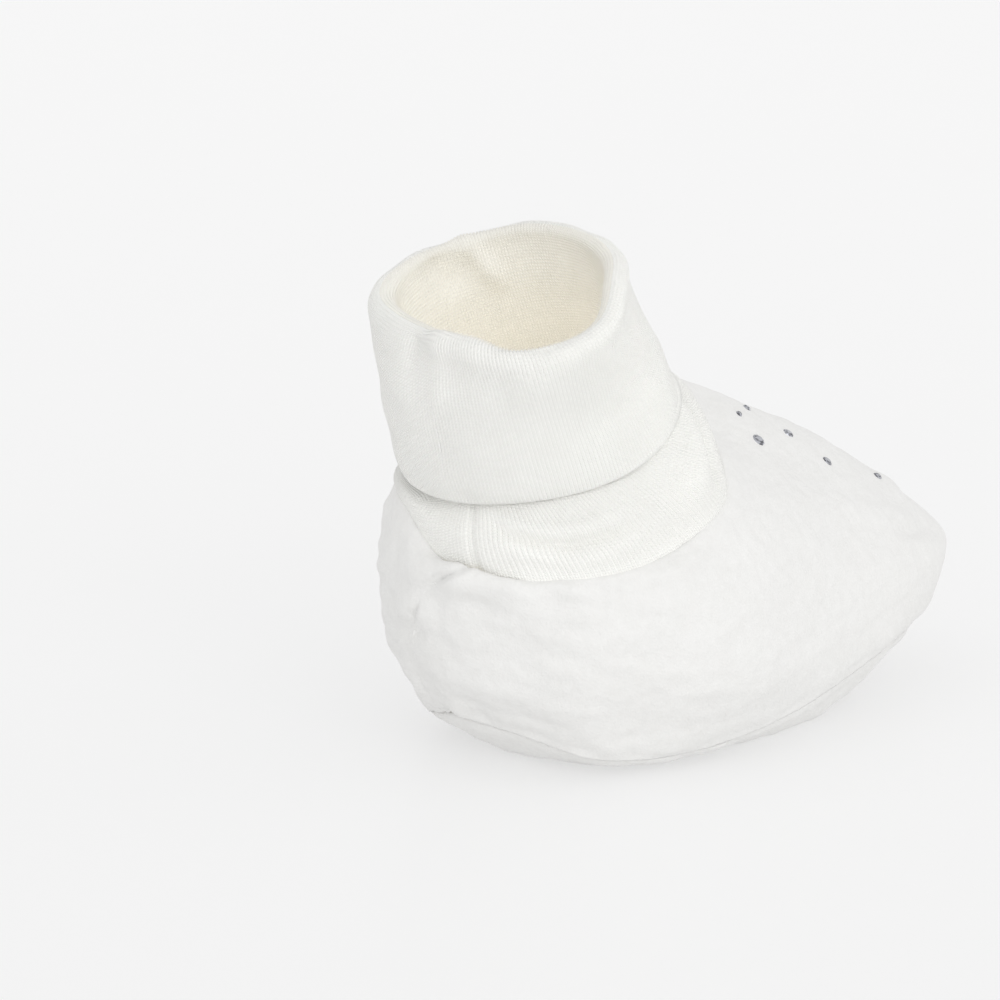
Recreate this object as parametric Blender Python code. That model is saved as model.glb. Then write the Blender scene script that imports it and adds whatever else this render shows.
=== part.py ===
"""A baby bootie: a velour foot on a padded sole, with a turned-down rib cuff.

Metres, +Z up, toe towards +Y. The origin is on the floor, under the middle of the foot's length.
"""
import math

import bmesh
import bpy
from mathutils import Matrix, Vector

MM = 0.001

# Cloth and thread thicknesses, in millimetres
VELOUR = 1.2
LINING = 0.6
LINING_MARGINS = (3.2, 2.2)  # how far the lining stops short of the sole seam and of the ankle seam
SOLE_CLOTH = 1.1
RIB_DOUBLED = 1.4
THREAD_RADIUS = 0.35
GAP = 0.35                  # between neighbouring pieces
SOLE_THREAD_RISE = 0.9      # the sole seam's thread lies this far above the upper's edge
SHARP_ANGLE = math.radians(40)

# The foot, in millimetres, with y measured from the origin's station
LENGTH_CENTRE = 1.7         # the stations' own zero lies this far behind the origin
PLAN_STEPS = 3              # mesh columns from one station to the next
HEIGHT_STEPS = 3            # mesh rows from one level to the next
# Right half, from the toe's centre round to the heel's centre.
# Each station: sole seam, low bulge, high bulge, shoulder.
RIGHT_STATIONS = (
    ((0, 49, 9), (0, 52.6, 14), (0, 56.3, 23), (0, 34, 38.6)),
    ((7.4, 47, 9.4), (8.3, 50.4, 14.2), (8.8, 54, 23.3), (7.3, 32.3, 37)),
    ((13.9, 42, 10.4), (15.6, 44, 15), (16, 46.2, 23.4), (13.8, 27.5, 34.4)),
    ((20, 33.4, 11), (22, 35.4, 16), (22, 34.5, 23.4), (19.5, 18.5, 33.2)),
    ((25.3, 18.8, 9.6), (27.4, 19.6, 15.2), (27.2, 16.5, 23.8), (25.5, 3.5, 33)),
    ((26.2, 1.2, 5.2), (30.2, 1.2, 13.2), (30.3, -4, 24), (28.5, -13, 32)),
    ((24, -16.8, 2.6), (30.6, -18, 14), (30.2, -22, 24.5), (28.3, -26.5, 31)),
    ((19, -31.5, 3), (23.6, -34.6, 14.5), (24.3, -36.4, 25), (23, -37.6, 31)),
    ((10, -38.5, 6), (13, -43.6, 16), (13.7, -46, 26), (13, -46.4, 31.5)),
    ((0, -41.5, 7.5), (0, -48, 17), (0, -50, 27.5), (0, -49.3, 33)),
)
# The ankle seam at the same stations, once round: toe, right side, heel, left side.
# The foot is slack on the right, so the seam hangs lower there.
ANKLE_SEAM = (
    (0, 1.5, 54), (7, 0.4, 52), (14, -1.5, 48), (20, -5.5, 45), (24, -11, 40.5), (25.5, -20, 36.5),
    (25, -30, 34.2), (20.5, -39.3, 33), (11, -46, 32.8), (0, -47.5, 34.5), (-10, -45.2, 39.5),
    (-19.5, -38.5, 40.5), (-24.5, -29.5, 41), (-25, -20, 42), (-23, -11, 44), (-19.5, -5, 47),
    (-14, -1.2, 50), (-7, 0.6, 52.5),
)
# The velour's back seam slants across the heel: its station at each level, from the sole seam up
BACK_SEAM = (9.6, 9.45, 9.1, 8.6, 8.3)

# The sole, in millimetres
SOLE_DROP = 0.9             # from the upper's lower edge down to the sole's edge
SOLE_EDGE = 0.985           # its edge, tread and fillings are scaled from the sole seam's outline
SOLE_FLAT = 0.7
SOLE_TREAD_CENTRE = (0, -6)
SOLE_ROUND = 0.68           # where the rounded edge turns, from the edge (0) to the tread (1)
WADDING_THICK = 2.2
WADDING_FLATS = (0.66, 0.62)  # the pad's lower and upper faces
WADDING_WAIST = (0.78, 0.45)  # its widest line: outline, and height against the sole seam's
WADDING_WAIST_RISE = 1.0    # and never nearer its lower face than this
INSOLE_FLAT = 0.63
INSOLE_EDGE = (0.82, 0.62)  # outline, and height against the sole seam's

# The turned-down cuff and the rib tube it is turned over, in millimetres
CUFF_LEAN = math.radians(21)
HEM_CENTRE = (0, -26.4, 50.2)
CUFF_HEIGHT = 24.1          # hem to crest, along the leaning axis
TUBE_RADIUS = 19.0
NECK_RADIUS = 20.2
NECK_DEPTH = 1.5            # the neck lies this far below the hem
RIB_EDGE_PLACE = (0.9, 0.6)  # the rib's lower edge against the ankle seam: inwards, up
ANKLE_THREAD_PLACE = (2.6, -1.7)
SHOULDER_BULGE = 1.2
SHOULDER_STEPS = 3
NECK_RING = 2 * SHOULDER_STEPS
OUTER_WALL = ((21.6, 0), (22.0, 0.8), (21.8, 8), (20.5, 16))  # radius and height, from the hem up
RIM_RADIUS = 20.3
MOUTH_RADIUS = 15.9
MOUTH_BEND = 12             # below this height the inner wall needs no more shape
CHANNEL_BEND = 14           # and below this one the channel opens out towards the hem
CUFF_WALL = 1.3
INNER_WALL_END = 2.5        # the channel's inner wall stops this far above the hem
CUFF_SEAM_ANGLE = 172       # degrees from the front, round by the right
CREST_DROP = 2.4            # crest of the rim to the top of the tube
TUBE_HEIGHTS = (1.5, 8, 15, CUFF_HEIGHT - CREST_DROP)
SCREW_STEPS = 54

# Toe crystals: the station and level each one sits at, on the right of the toe and then on the left
CRYSTAL_RADIUS = 1.0
CRYSTAL_GIRDLE = 0.25       # the girdle's height and the stone's
CRYSTAL_HEIGHT = 0.8
CRYSTAL_TABLE = 0.55        # the table's radius against the girdle's
CRYSTAL_SIDES = 8
CRYSTAL_PLACES = (
    (1.05, 3.75), (0.6, 3.62), (1.7, 3.7), (1.1, 3.42), (1.6, 3.2), (1.2, 2.75),
    (-0.5, 3.4), (-1.2, 3.7), (-1.0, 3.1), (-1.9, 3.35), (-0.4, 2.8),
)

WHITE_VELOUR = (0.90, 0.89, 0.86, 1)
WHITE_RIB = (0.90, 0.88, 0.83, 1)
IVORY_JERSEY = (0.86, 0.82, 0.72, 1)
WADDING_WHITE = (0.85, 0.85, 0.84, 1)
THREAD_WHITE = (0.88, 0.87, 0.83, 1)
CRYSTAL_SILVER = (0.55, 0.58, 0.62, 1)


def clear_scene():
    for obj in list(bpy.data.objects):
        bpy.data.objects.remove(obj, do_unlink=True)


def material(name, colour, roughness, metallic=0.0):
    mat = bpy.data.materials.new(name)
    mat.use_nodes = True
    shader = mat.node_tree.nodes["Principled BSDF"]
    shader.inputs["Base Color"].default_value = colour
    shader.inputs["Roughness"].default_value = roughness
    shader.inputs["Metallic"].default_value = metallic
    return mat


def add_object(name, bm, mat, closed=True):
    """Finish a bmesh as a named object with one material."""
    if closed:
        bmesh.ops.recalc_face_normals(bm, faces=bm.faces)
    mesh = bpy.data.meshes.new(name)
    bm.to_mesh(mesh)
    bm.free()
    mesh.materials.append(mat)
    mesh.shade_smooth()
    mesh.set_sharp_from_angle(angle=SHARP_ANGLE)
    obj = bpy.data.objects.new(name, mesh)
    bpy.context.collection.objects.link(obj)
    return obj


def blend_points(before, start, end, after, t):
    """Catmull-Rom point between start and end."""
    return 0.5 * (2 * start + (end - before) * t
                  + (2 * before - 5 * start + 4 * end - after) * t * t
                  + (3 * start - 3 * end + after - before) * t ** 3)


def smooth_loop(points, steps):
    """Smooth closed curve through the points."""
    round_twice = points + points
    return [blend_points(points[i - 1], *round_twice[i:i + 3], k / steps)
            for i in range(len(points)) for k in range(steps)]


def smooth_line(points, steps):
    """Smooth open curve through the points, from the first to the last."""
    ends = [2 * points[0] - points[1]] + points + [2 * points[-1] - points[-2]]
    line = [blend_points(*ends[i:i + 4], k / steps) for i in range(len(points) - 1) for k in range(steps)]
    return line + [points[-1]]


def place(point):
    """A point in the stations' millimetres, in metres from the origin."""
    x, y, z = point
    return Vector((x, y - LENGTH_CENTRE, z)) * MM


def foot_rings():
    """The upper's outer surface: closed rings from the sole seam up to the ankle seam."""
    left = [tuple((-x, y, z) for x, y, z in station) for station in RIGHT_STATIONS[-2:0:-1]]
    stations = [station + (seam,) for station, seam in zip(RIGHT_STATIONS + tuple(left), ANKLE_SEAM)]
    levels = [smooth_loop([place(station[i]) for station in stations], PLAN_STEPS) for i in range(5)]
    columns = [smooth_line([level[i] for level in levels], HEIGHT_STEPS) for i in range(len(levels[0]))]
    return [list(ring) for ring in zip(*columns)]


def loft(bm, rings):
    """Quads between successive rings, facing out where the rings climb. Returns the rings of vertices."""
    verts = [[bm.verts.new(p) for p in ring] for ring in rings]
    for low, high in zip(verts, verts[1:]):
        for i in range(len(low)):
            j = (i + 1) % len(low)
            bm.faces.new((low[i], high[i], high[j], low[j]))
    return verts


def ring_normals(rings):
    """Outward normals of a lofted band, ring by ring."""
    bm = bmesh.new()
    verts = loft(bm, rings)
    bm.normal_update()
    normals = [[v.normal.copy() for v in ring] for ring in verts]
    bm.free()
    return normals


def inset(rings, depth):
    """The band moved inwards along its normals by a depth in millimetres."""
    return [[p - n * depth * MM for p, n in zip(ring, normals)]
            for ring, normals in zip(rings, ring_normals(rings))]


def trimmed(rings, at_start, at_end):
    """The band with a strip cut off each edge: every column resampled between two lengths along it."""
    columns = []
    for column in zip(*rings):
        reach = [0.0]
        for low, high in zip(column, column[1:]):
            reach.append(reach[-1] + (high - low).length)
        step = (reach[-1] - (at_start + at_end) * MM) / (len(rings) - 1)
        kept = []
        for i in range(len(rings)):
            length = at_start * MM + step * i
            span = max(k for k in range(len(column) - 1) if reach[k] <= length)
            part = (length - reach[span]) / (reach[span + 1] - reach[span])
            kept.append(column[span].lerp(column[span + 1], part))
        columns.append(kept)
    return [list(ring) for ring in zip(*columns)]


def band(name, outer, thickness, mat):
    """A closed body between an outer band and the same band set in by the thickness."""
    inner = inset(outer, thickness)
    bm = bmesh.new()
    loft(bm, outer + inner[::-1] + outer[:1])
    bmesh.ops.remove_doubles(bm, verts=bm.verts, dist=0.01 * MM)
    return add_object(name, bm, mat)


def on_grid(rows, station, level):
    """The point of the foot's grid at a station and a level, which need not be whole numbers."""
    row = level * HEIGHT_STEPS
    low = min(int(row), len(rows) - 2)
    column = station % len(ANKLE_SEAM) * PLAN_STEPS
    left = int(column)
    right = (left + 1) % len(rows[0])
    below, above = (rows[i][left].lerp(rows[i][right], column - left) for i in (low, low + 1))
    return below.lerp(above, row - low)


def thread(name, path, mat, closed):
    """A seam's thread: a round tube along a path, closed on itself or with filled caps."""
    curve = bpy.data.curves.new(name, "CURVE")
    curve.dimensions = "3D"
    curve.bevel_depth = THREAD_RADIUS * MM
    curve.bevel_resolution = 1
    curve.use_fill_caps = not closed
    spline = curve.splines.new("POLY")
    spline.points.add(len(path) - 1)
    for point, at in zip(spline.points, path):
        point.co = (*at, 1)
    spline.use_cyclic_u = closed
    obj = bpy.data.objects.new(name, curve)
    bpy.context.collection.objects.link(obj)
    curve.materials.append(mat)
    return obj


def scaled_outline(ring, scale, height):
    """A ring drawn in towards the tread's centre, at a height above it or following it."""
    centre = place((*SOLE_TREAD_CENTRE, 0))
    return [Vector((centre.x + (p.x - centre.x) * scale, centre.y + (p.y - centre.y) * scale, height(p)))
            for p in ring]


def quadratic(start, turn, end, t):
    return start * (1 - t) ** 2 + turn * 2 * t * (1 - t) + end * t * t


def sole_rings(seam, steps=4):
    """The sole's outer surface: from its edge, round the turn and onto the flat tread."""
    edge = [p + Vector((0, 0, -SOLE_DROP * MM)) for p in scaled_outline(seam, SOLE_EDGE, lambda p: p.z)]
    tread = scaled_outline(seam, SOLE_FLAT, lambda p: 0.0)
    turns = [Vector((e.x + (t.x - e.x) * SOLE_ROUND, e.y + (t.y - e.y) * SOLE_ROUND, 0))
             for e, t in zip(edge, tread)]
    return [[quadratic(e, c, t, k / steps) for e, c, t in zip(edge, turns, tread)] for k in range(steps + 1)]


def dish(name, rings, thickness, mat):
    """A closed body from rings that sink to a flat face, thickened upwards."""
    bm = bmesh.new()
    verts = loft(bm, rings)
    bm.faces.new(verts[-1][::-1])
    obj = add_object(name, bm, mat, closed=False)
    solid = obj.modifiers.new("thickness", "SOLIDIFY")
    solid.thickness = thickness * MM
    solid.offset = 1
    solid.use_even_offset = True
    return obj


def make_sole(seam, velour, wadding_mat, jersey):
    dish("sole_velour", sole_rings(seam), SOLE_CLOTH, velour)
    floor = SOLE_CLOTH + GAP
    pad_top = floor + WADDING_THICK

    bm = bmesh.new()
    scale, share = WADDING_WAIST
    lowest = floor + WADDING_WAIST_RISE
    base = scaled_outline(seam, WADDING_FLATS[0], lambda p: floor * MM)
    waist = scaled_outline(seam, scale, lambda p: max(p.z * share, lowest * MM))
    crown = scaled_outline(seam, WADDING_FLATS[1], lambda p: pad_top * MM)
    verts = loft(bm, [base, waist, crown])
    bm.faces.new(verts[0])
    bm.faces.new(verts[-1])
    add_object("sole_wadding", bm, wadding_mat)

    under = (pad_top + GAP) * MM
    scale, share = INSOLE_EDGE
    edge = scaled_outline(seam, scale, lambda p: max(p.z * share, under))
    flat = scaled_outline(seam, INSOLE_FLAT, lambda p: under)
    dish("insole_lining", [edge, flat], LINING, jersey)


def cuff_frame():
    """The leaning frame of the cuff: its origin on the hem's centre, +Z along the axis, +Y forward."""
    return Matrix.Translation(place(HEM_CENTRE)) @ Matrix.Rotation(CUFF_LEAN, 4, "X")


def cuff_ring(radius, height, count):
    """A level circle in the leaning frame, starting at the front and going round by the right."""
    frame = cuff_frame()
    angles = [2 * math.pi * i / count for i in range(count)]
    return [frame @ (Vector((radius * math.sin(a), radius * math.cos(a), height)) * MM) for a in angles]


def drawn_in(ring, inwards, rise):
    """A ring moved level towards its centre, and up."""
    centre = sum(ring, Vector()) / len(ring)
    moved = []
    for point in ring:
        towards = centre - point
        towards.z = 0
        moved.append(point + towards.normalized() * inwards * MM + Vector((0, 0, rise * MM)))
    return moved


def rib_rings(ankle):
    """The rib's outer surface: from the ankle seam, over a soft shoulder, up the straight tube."""
    count = len(ankle)
    edge = drawn_in(ankle, *RIB_EDGE_PLACE)
    neck = cuff_ring(NECK_RADIUS, -NECK_DEPTH, count)
    slopes = ring_normals([edge, neck])[0]
    shoulder = [a.lerp(b, 0.5) + n * SHOULDER_BULGE * MM for a, b, n in zip(edge, neck, slopes)]
    columns = [smooth_line(list(column), SHOULDER_STEPS) for column in zip(edge, shoulder, neck)]
    rings = [list(ring) for ring in zip(*columns)]
    return rings + [cuff_ring(TUBE_RADIUS, height, count) for height in TUBE_HEIGHTS]


def cuff_crest():
    """The rolled rim, from the outer wall over to the mouth."""
    roll = (RIM_RADIUS - MOUTH_RADIUS) / 2
    middle = (RIM_RADIUS + MOUTH_RADIUS) / 2
    angles = [math.radians(a) for a in range(0, 181, 30)]
    return [(middle + roll * math.cos(a), CUFF_HEIGHT - roll + roll * math.sin(a)) for a in angles]


def cuff_profile():
    """The cuff's whole section, once round from the hem. The rib tube fits in its channel."""
    inside = [(MOUTH_RADIUS, MOUTH_BEND), (MOUTH_RADIUS, INNER_WALL_END)]
    tube_inside = TUBE_RADIUS - RIB_DOUBLED - GAP
    tube_outside = TUBE_RADIUS + GAP
    ceiling = CUFF_HEIGHT - CREST_DROP + GAP
    channel = [(tube_inside, INNER_WALL_END), (tube_inside, ceiling), (tube_outside, ceiling),
               (tube_outside, CHANNEL_BEND), (OUTER_WALL[0][0] - CUFF_WALL, 0)]
    return list(OUTER_WALL) + cuff_crest() + inside + channel


def make_cuff(mat):
    """The turned-down cuff: an upside-down channel that straddles the top of the rib tube."""
    mesh = bpy.data.meshes.new("turned_cuff")
    points = [(radius * MM, 0, height * MM) for radius, height in reversed(cuff_profile())]
    mesh.from_pydata(points, [(i, (i + 1) % len(points)) for i in range(len(points))], [])
    mesh.materials.append(mat)
    obj = bpy.data.objects.new("turned_cuff", mesh)
    bpy.context.collection.objects.link(obj)
    obj.matrix_world = cuff_frame()
    screw = obj.modifiers.new("turn", "SCREW")
    screw.axis = "Z"
    screw.angle = 2 * math.pi
    screw.steps = SCREW_STEPS
    screw.render_steps = SCREW_STEPS
    screw.use_merge_vertices = True
    screw.merge_threshold = 0.00001
    screw.use_smooth_shade = True
    return obj


def make_foot_threads(rings, normals, mat):
    """The threads that close the sole seam and the ankle seam, on the inside, and the centre back."""
    inside = (VELOUR + GAP + THREAD_RADIUS) * MM
    rise = Vector((0, 0, SOLE_THREAD_RISE * MM))
    path = [p - n * inside + rise for p, n in zip(rings[0], normals[0])]
    thread("sole_seam_thread", path, mat, closed=True)
    thread("ankle_seam_thread", drawn_in(rings[-1], *ANKLE_THREAD_PLACE), mat, closed=True)
    proud = (GAP + THREAD_RADIUS) * MM
    levels = [row / HEIGHT_STEPS for row in range(len(rings))]
    stations = smooth_line(list(BACK_SEAM), HEIGHT_STEPS)
    path = [on_grid(rings, *at) + on_grid(normals, *at) * proud for at in zip(stations, levels)]
    thread("velour_back_seam_thread", path, mat, closed=False)


def make_rib_threads(tube, mat):
    """The rib band's own seam: one thread below the hem, and one on the turned-down cuff."""
    proud = GAP + THREAD_RADIUS
    below_hem = tube[:NECK_RING + 1]
    column = round(BACK_SEAM[-1] * PLAN_STEPS)
    path = [ring[column] + n[column] * proud * MM for ring, n in zip(below_hem, ring_normals(below_hem))]
    thread("rib_back_seam_thread", path, mat, closed=False)

    frame = cuff_frame()
    angle = math.radians(CUFF_SEAM_ANGLE)
    path = [frame @ (Vector(((r + proud) * math.sin(angle), (r + proud) * math.cos(angle), h)) * MM)
            for r, h in list(OUTER_WALL[1:]) + cuff_crest()[1:2]]
    thread("cuff_seam_thread", path, mat, closed=False)


def crystal_mesh(mat):
    """A flat-backed faceted stone: a wide girdle and a small table."""
    bm = bmesh.new()
    rings = []
    for radius, height in ((CRYSTAL_RADIUS, 0), (CRYSTAL_RADIUS, CRYSTAL_GIRDLE),
                           (CRYSTAL_TABLE * CRYSTAL_RADIUS, CRYSTAL_HEIGHT)):
        angles = [2 * math.pi * i / CRYSTAL_SIDES for i in range(CRYSTAL_SIDES)]
        rings.append([Vector((radius * math.cos(a), radius * math.sin(a), height)) * MM for a in angles])
    verts = loft(bm, rings)
    bm.faces.new(verts[0])
    bm.faces.new(verts[-1])
    bmesh.ops.recalc_face_normals(bm, faces=bm.faces)
    mesh = bpy.data.meshes.new("crystal")
    bm.to_mesh(mesh)
    bm.free()
    mesh.materials.append(mat)
    return mesh


def make_crystals(rings, mat):
    """Stones scattered over the toe, each resting just off the velour."""
    normals = ring_normals(rings)
    mesh = crystal_mesh(mat)
    for number, at in enumerate(CRYSTAL_PLACES, start=1):
        point = on_grid(rings, *at)
        normal = on_grid(normals, *at).normalized()
        obj = bpy.data.objects.new(f"toe_crystal_{number:02d}", mesh)
        bpy.context.collection.objects.link(obj)
        turn = normal.to_track_quat("Z", "Y").to_matrix().to_4x4()
        obj.matrix_world = Matrix.Translation(point + normal * GAP * MM) @ turn


def main():
    clear_scene()
    velour = material("velour", WHITE_VELOUR, 0.95)
    rib = material("rib_knit", WHITE_RIB, 0.9)
    jersey = material("lining_jersey", IVORY_JERSEY, 0.9)
    wadding = material("wadding", WADDING_WHITE, 1.0)
    sewing = material("thread", THREAD_WHITE, 0.7)
    crystal = material("crystal", CRYSTAL_SILVER, 0.12, 0.6)

    rings = foot_rings()
    normals = ring_normals(rings)
    band("upper_velour", rings, VELOUR, velour)
    lining = inset(trimmed(rings, *LINING_MARGINS), VELOUR + GAP)
    band("foot_lining", lining, LINING, jersey)
    make_sole(rings[0], velour, wadding, jersey)

    tube = rib_rings(rings[-1])
    band("ankle_rib", tube, RIB_DOUBLED, rib)
    make_cuff(rib)
    make_foot_threads(rings, normals, sewing)
    make_rib_threads(tube, sewing)
    make_crystals(rings, crystal)


main()
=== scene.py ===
"""The looks of the baby bootie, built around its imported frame.

Shapes are worked out in millimetres, in the frame's axes: +Z up, toe towards +Y.
A band of cloth is a grid of points: rings that start at the toe and go round by the right.
"""
import math

import bpy
import numpy as np
from mathutils import Matrix, Vector


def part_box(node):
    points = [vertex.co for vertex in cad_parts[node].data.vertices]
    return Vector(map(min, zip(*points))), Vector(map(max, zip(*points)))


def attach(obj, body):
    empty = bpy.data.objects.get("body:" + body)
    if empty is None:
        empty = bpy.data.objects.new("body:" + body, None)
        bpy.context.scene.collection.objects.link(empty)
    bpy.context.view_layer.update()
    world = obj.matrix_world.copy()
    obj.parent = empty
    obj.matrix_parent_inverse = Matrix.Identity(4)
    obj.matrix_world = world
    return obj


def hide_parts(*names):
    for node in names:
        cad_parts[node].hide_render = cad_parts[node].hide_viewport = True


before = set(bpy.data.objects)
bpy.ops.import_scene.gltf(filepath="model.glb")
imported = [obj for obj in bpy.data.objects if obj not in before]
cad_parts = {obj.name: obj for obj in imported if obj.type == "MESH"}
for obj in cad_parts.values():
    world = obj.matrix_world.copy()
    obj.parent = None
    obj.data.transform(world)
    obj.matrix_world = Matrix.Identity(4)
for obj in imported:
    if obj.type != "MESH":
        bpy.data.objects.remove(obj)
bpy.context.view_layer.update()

MM = 0.001

# Cloth thicknesses
VELOUR = 1.2
VELOUR_EDGE = 0.45          # the velour thins where it is turned in at a seam
LINING = 0.6
LINING_MARGINS = (3.2, 2.2)
RIB_DOUBLED = 1.3
SOLE_CLOTH = 1.1
GAP = 0.35

# The foot's stations, as the frame's design has them: right half from the toe's centre to the heel's centre.
# Each station: sole seam, low bulge, high bulge, shoulder.
LENGTH_CENTRE = 1.7
RIGHT_STATIONS = (
    ((0, 49, 9), (0, 52.6, 14), (0, 56.3, 23), (0, 34, 38.6)),
    ((7.4, 47, 9.4), (8.3, 50.4, 14.2), (8.8, 54, 23.3), (7.3, 32.3, 37)),
    ((13.9, 42, 10.4), (15.6, 44, 15), (16, 46.2, 23.4), (13.8, 27.5, 34.4)),
    ((20, 33.4, 11), (22, 35.4, 16), (22, 34.5, 23.4), (19.5, 18.5, 33.2)),
    ((25.3, 18.8, 9.6), (27.4, 19.6, 15.2), (27.2, 16.5, 23.8), (25.5, 3.5, 33)),
    ((26.2, 1.2, 5.2), (30.2, 1.2, 13.2), (30.3, -4, 24), (28.5, -13, 32)),
    ((24, -16.8, 2.6), (30.6, -18, 14), (30.2, -22, 24.5), (28.3, -26.5, 31)),
    ((19, -31.5, 3), (23.6, -34.6, 14.5), (24.3, -36.4, 25), (23, -37.6, 31)),
    ((10, -38.5, 6), (13, -43.6, 16), (13.7, -46, 26), (13, -46.4, 31.5)),
    ((0, -41.5, 7.5), (0, -48, 17), (0, -50, 27.5), (0, -49.3, 33)),
)
# The ankle seam at the same stations: toe, right side, heel, left side
ANKLE_SEAM = (
    (0, 0.6, 54), (6.6, -1.4, 52.2), (13, -3.6, 48), (19.6, -6.8, 44.6), (24, -11, 40.5), (25.5, -20, 36.5),
    (25, -30, 34.2), (20.5, -39.3, 33), (11, -46, 32.8), (0, -47.5, 34.5), (-10, -45.2, 39.5),
    (-19.5, -38.5, 40.5), (-24.5, -29.5, 41), (-25, -20, 42), (-23, -11, 44), (-19.5, -5, 47),
    (-14, -1.2, 50), (-7, 0.6, 52.5),
)
STATIONS = len(ANKLE_SEAM)
STATION_ARC = 14.0          # a typical run of velour from one station to the next
# The velour's back seam: its station at each level, from the sole seam up
BACK_SEAM = (9.6, 9.45, 9.1, 8.6, 8.3)
RIB_BACK_STATION = 8.3
# Folds of the velour: (station, level) places, how far the cloth rises or sinks along them, and their width
FOOT_FOLDS = (
    # along the vamp's right side
    (((4.0, 3.8), (3.5, 3.55), (3.0, 3.05), (2.5, 2.55), (1.9, 2.3)), 0.5, 3.2),
    # a tuck beside the toe's tip, and the tip above it
    (((3.0, 2.5), (2.4, 2.32), (1.5, 2.25)), -0.9, 1.3),
    (((2.0, 2.6), (1.2, 2.65), (0.2, 2.55)), 0.5, 2.6),
    # a puff beside the back seam, and the fold under it
    (((8.9, 2.65), (8.4, 2.85), (8.0, 3.05), (7.6, 3.3)), 0.6, 2.8),
    (((7.2, 3.3), (7.8, 2.9), (8.35, 2.25), (8.8, 1.8)), -0.5, 2.6),
    # the vamp dips where it meets the ankle seam
    (((0.1, 3.8), (0.8, 3.88), (1.6, 3.92), (2.4, 3.95)), -1.3, 2.8),
    # the heel's hollow and its lowest roll
    (((9.5, 1.6), (9.9, 1.9), (10.6, 2.1)), -0.6, 1.6),
    (((9.3, 0.9), (8.8, 0.8), (8.1, 0.75), (7.3, 0.8)), 0.5, 2.4),
)

# Grid sizes
FOOT_COLUMNS = 540
FOOT_ROWS = 124
FOOT_LINING_STEP = 5        # the velour's inner side has one row for this many outside
SOLE_COLUMNS = 360

# The leaning frame of the cuff, and the cuff's section
CUFF_LEAN = math.radians(21)
HEM_CENTRE = (0, -26.4 - LENGTH_CENTRE, 50.2)
CUFF_HEIGHT = 24.1
TUBE_RADIUS = 19.0
TUBE_TOP = 20.4
NECK_RADIUS = 20.2
NECK_DEPTH = 0.7
# How far the rib swells out under the hem, and how much more for each millimetre the hem hangs
NECK_SWELL = (0.8, 0.55)
HEM_RADIUS = 22.0
HEM_ROUND = 0.85
RIM_RADIUS = 20.3
MOUTH_RADIUS = 15.9
INNER_WALL = 1.2
INNER_WALL_END = 2.5
CUFF_SEAM_ANGLE = 172
# The soft rim as it stands: every 30 degrees from the front round by the right,
# the crest's radius and height, and its thickness against the round rim's
RIM_SHAPE = (
    (17.9, 24.6, 0.65), (17.8, 24.1, 0.85), (18.0, 23.8, 0.95), (19.8, 21.6, 1.0), (20.0, 22.6, 1.0),
    (16.6, 24.1, 0.95), (14.6, 25.2, 1.05), (16.0, 26.4, 1.1), (18.6, 26.6, 1.0), (19.6, 26.0, 0.7),
    (18.8, 25.5, 0.6), (18.3, 25.4, 0.6),
)
# Folds of the rib and the cuff: (degrees, radius, height) places, how far they rise or sink, and their width.
# The rib's: the level crease with the rolls above and under it, then the crease at the right and its roll
RIB_FOLDS = (
    (((161, 21.7, -1.6), (155, 23.2, -2.6), (148, 24.5, -4.0), (133, 25.3, -6.7), (116, 25.1, -7.7),
      (98, 23.9, -8.9), (86, 23.6, -9.4)), -1.5, 0.9),
    (((156, 22.4, -1.8), (148, 23.8, -2.6), (133, 24.4, -4.6), (116, 24.2, -5.6), (100, 23.4, -6.8)),
     0.7, 1.3),
    (((158, 23.4, -4.4), (148, 25, -6.2), (133, 26, -9), (116, 25.8, -10), (99, 24.8, -11)), 0.7, 1.4),
    (((22, 20.8, 2), (32, 21.8, -0.6), (42, 22.8, -2.6), (51, 24.2, -5.2), (59, 25.6, -8.2), (65, 26.6, -11),
      (69, 27.2, -13)), -2.0, 1.8),
    (((44, 21, 1.4), (50, 21.8, -0.6), (59, 23.2, -2.8), (68, 24.6, -5.8), (78, 25.6, -9.6), (86, 26.4, -13)),
     1.3, 2.4),
)
CUFF_FOLDS = (
    (((124, 21.4, 10.5), (108, 21.2, 9), (87, 20.8, 6.5), (62, 21.2, 3)), -0.8, 2.8),
    (((165, 15.4, 25.6), (167, 17.2, 24.0), (169, 19.5, 19), (171, 21, 13)), 0.4, 1.6),
    (((128, 17.2, 23.6), (146, 16.9, 24.1), (160, 16.3, 24.9), (172, 15.9, 25.6), (182, 15.6, 26)), 1.3, 2.6),
    (((186, 14.6, 25.5), (186, 16.6, 26), (185, 18.8, 23), (184, 20.2, 19)), -1.1, 1.5),
    (((293, 18, 27.6), (299, 17.2, 24), (305, 16.2, 20), (312, 15.8, 15)), 1.6, 1.7),
    (((278, 18, 26), (283, 17, 22), (288, 16.2, 17)), -0.7, 2.2),
)
HEM_SAG = (95, 42, 1.7)     # the hem hangs lower on the right: degrees, width in degrees, millimetres

# Rib knit
WALES = 230                 # columns of stitches round the band
WALE_VERTS = 3
COURSE = 0.47               # height of one stitch
INSOLE_WALE = 0.62          # between the columns of the insole's jersey
WALE_RELIEF = 0.16
TUBE_FOLLOW = 0.45          # the hidden tube takes this share of the rim's outward shift
RELIEF_WAVES = 28           # waves that add up to one soft uneven surface
RIB_EDGE_IN = 0.25          # the rib's edge lies this far inside the velour's
RIB_TUCK_IN = 0.4
RIB_TUCK_DOWN = 1.4

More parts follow.
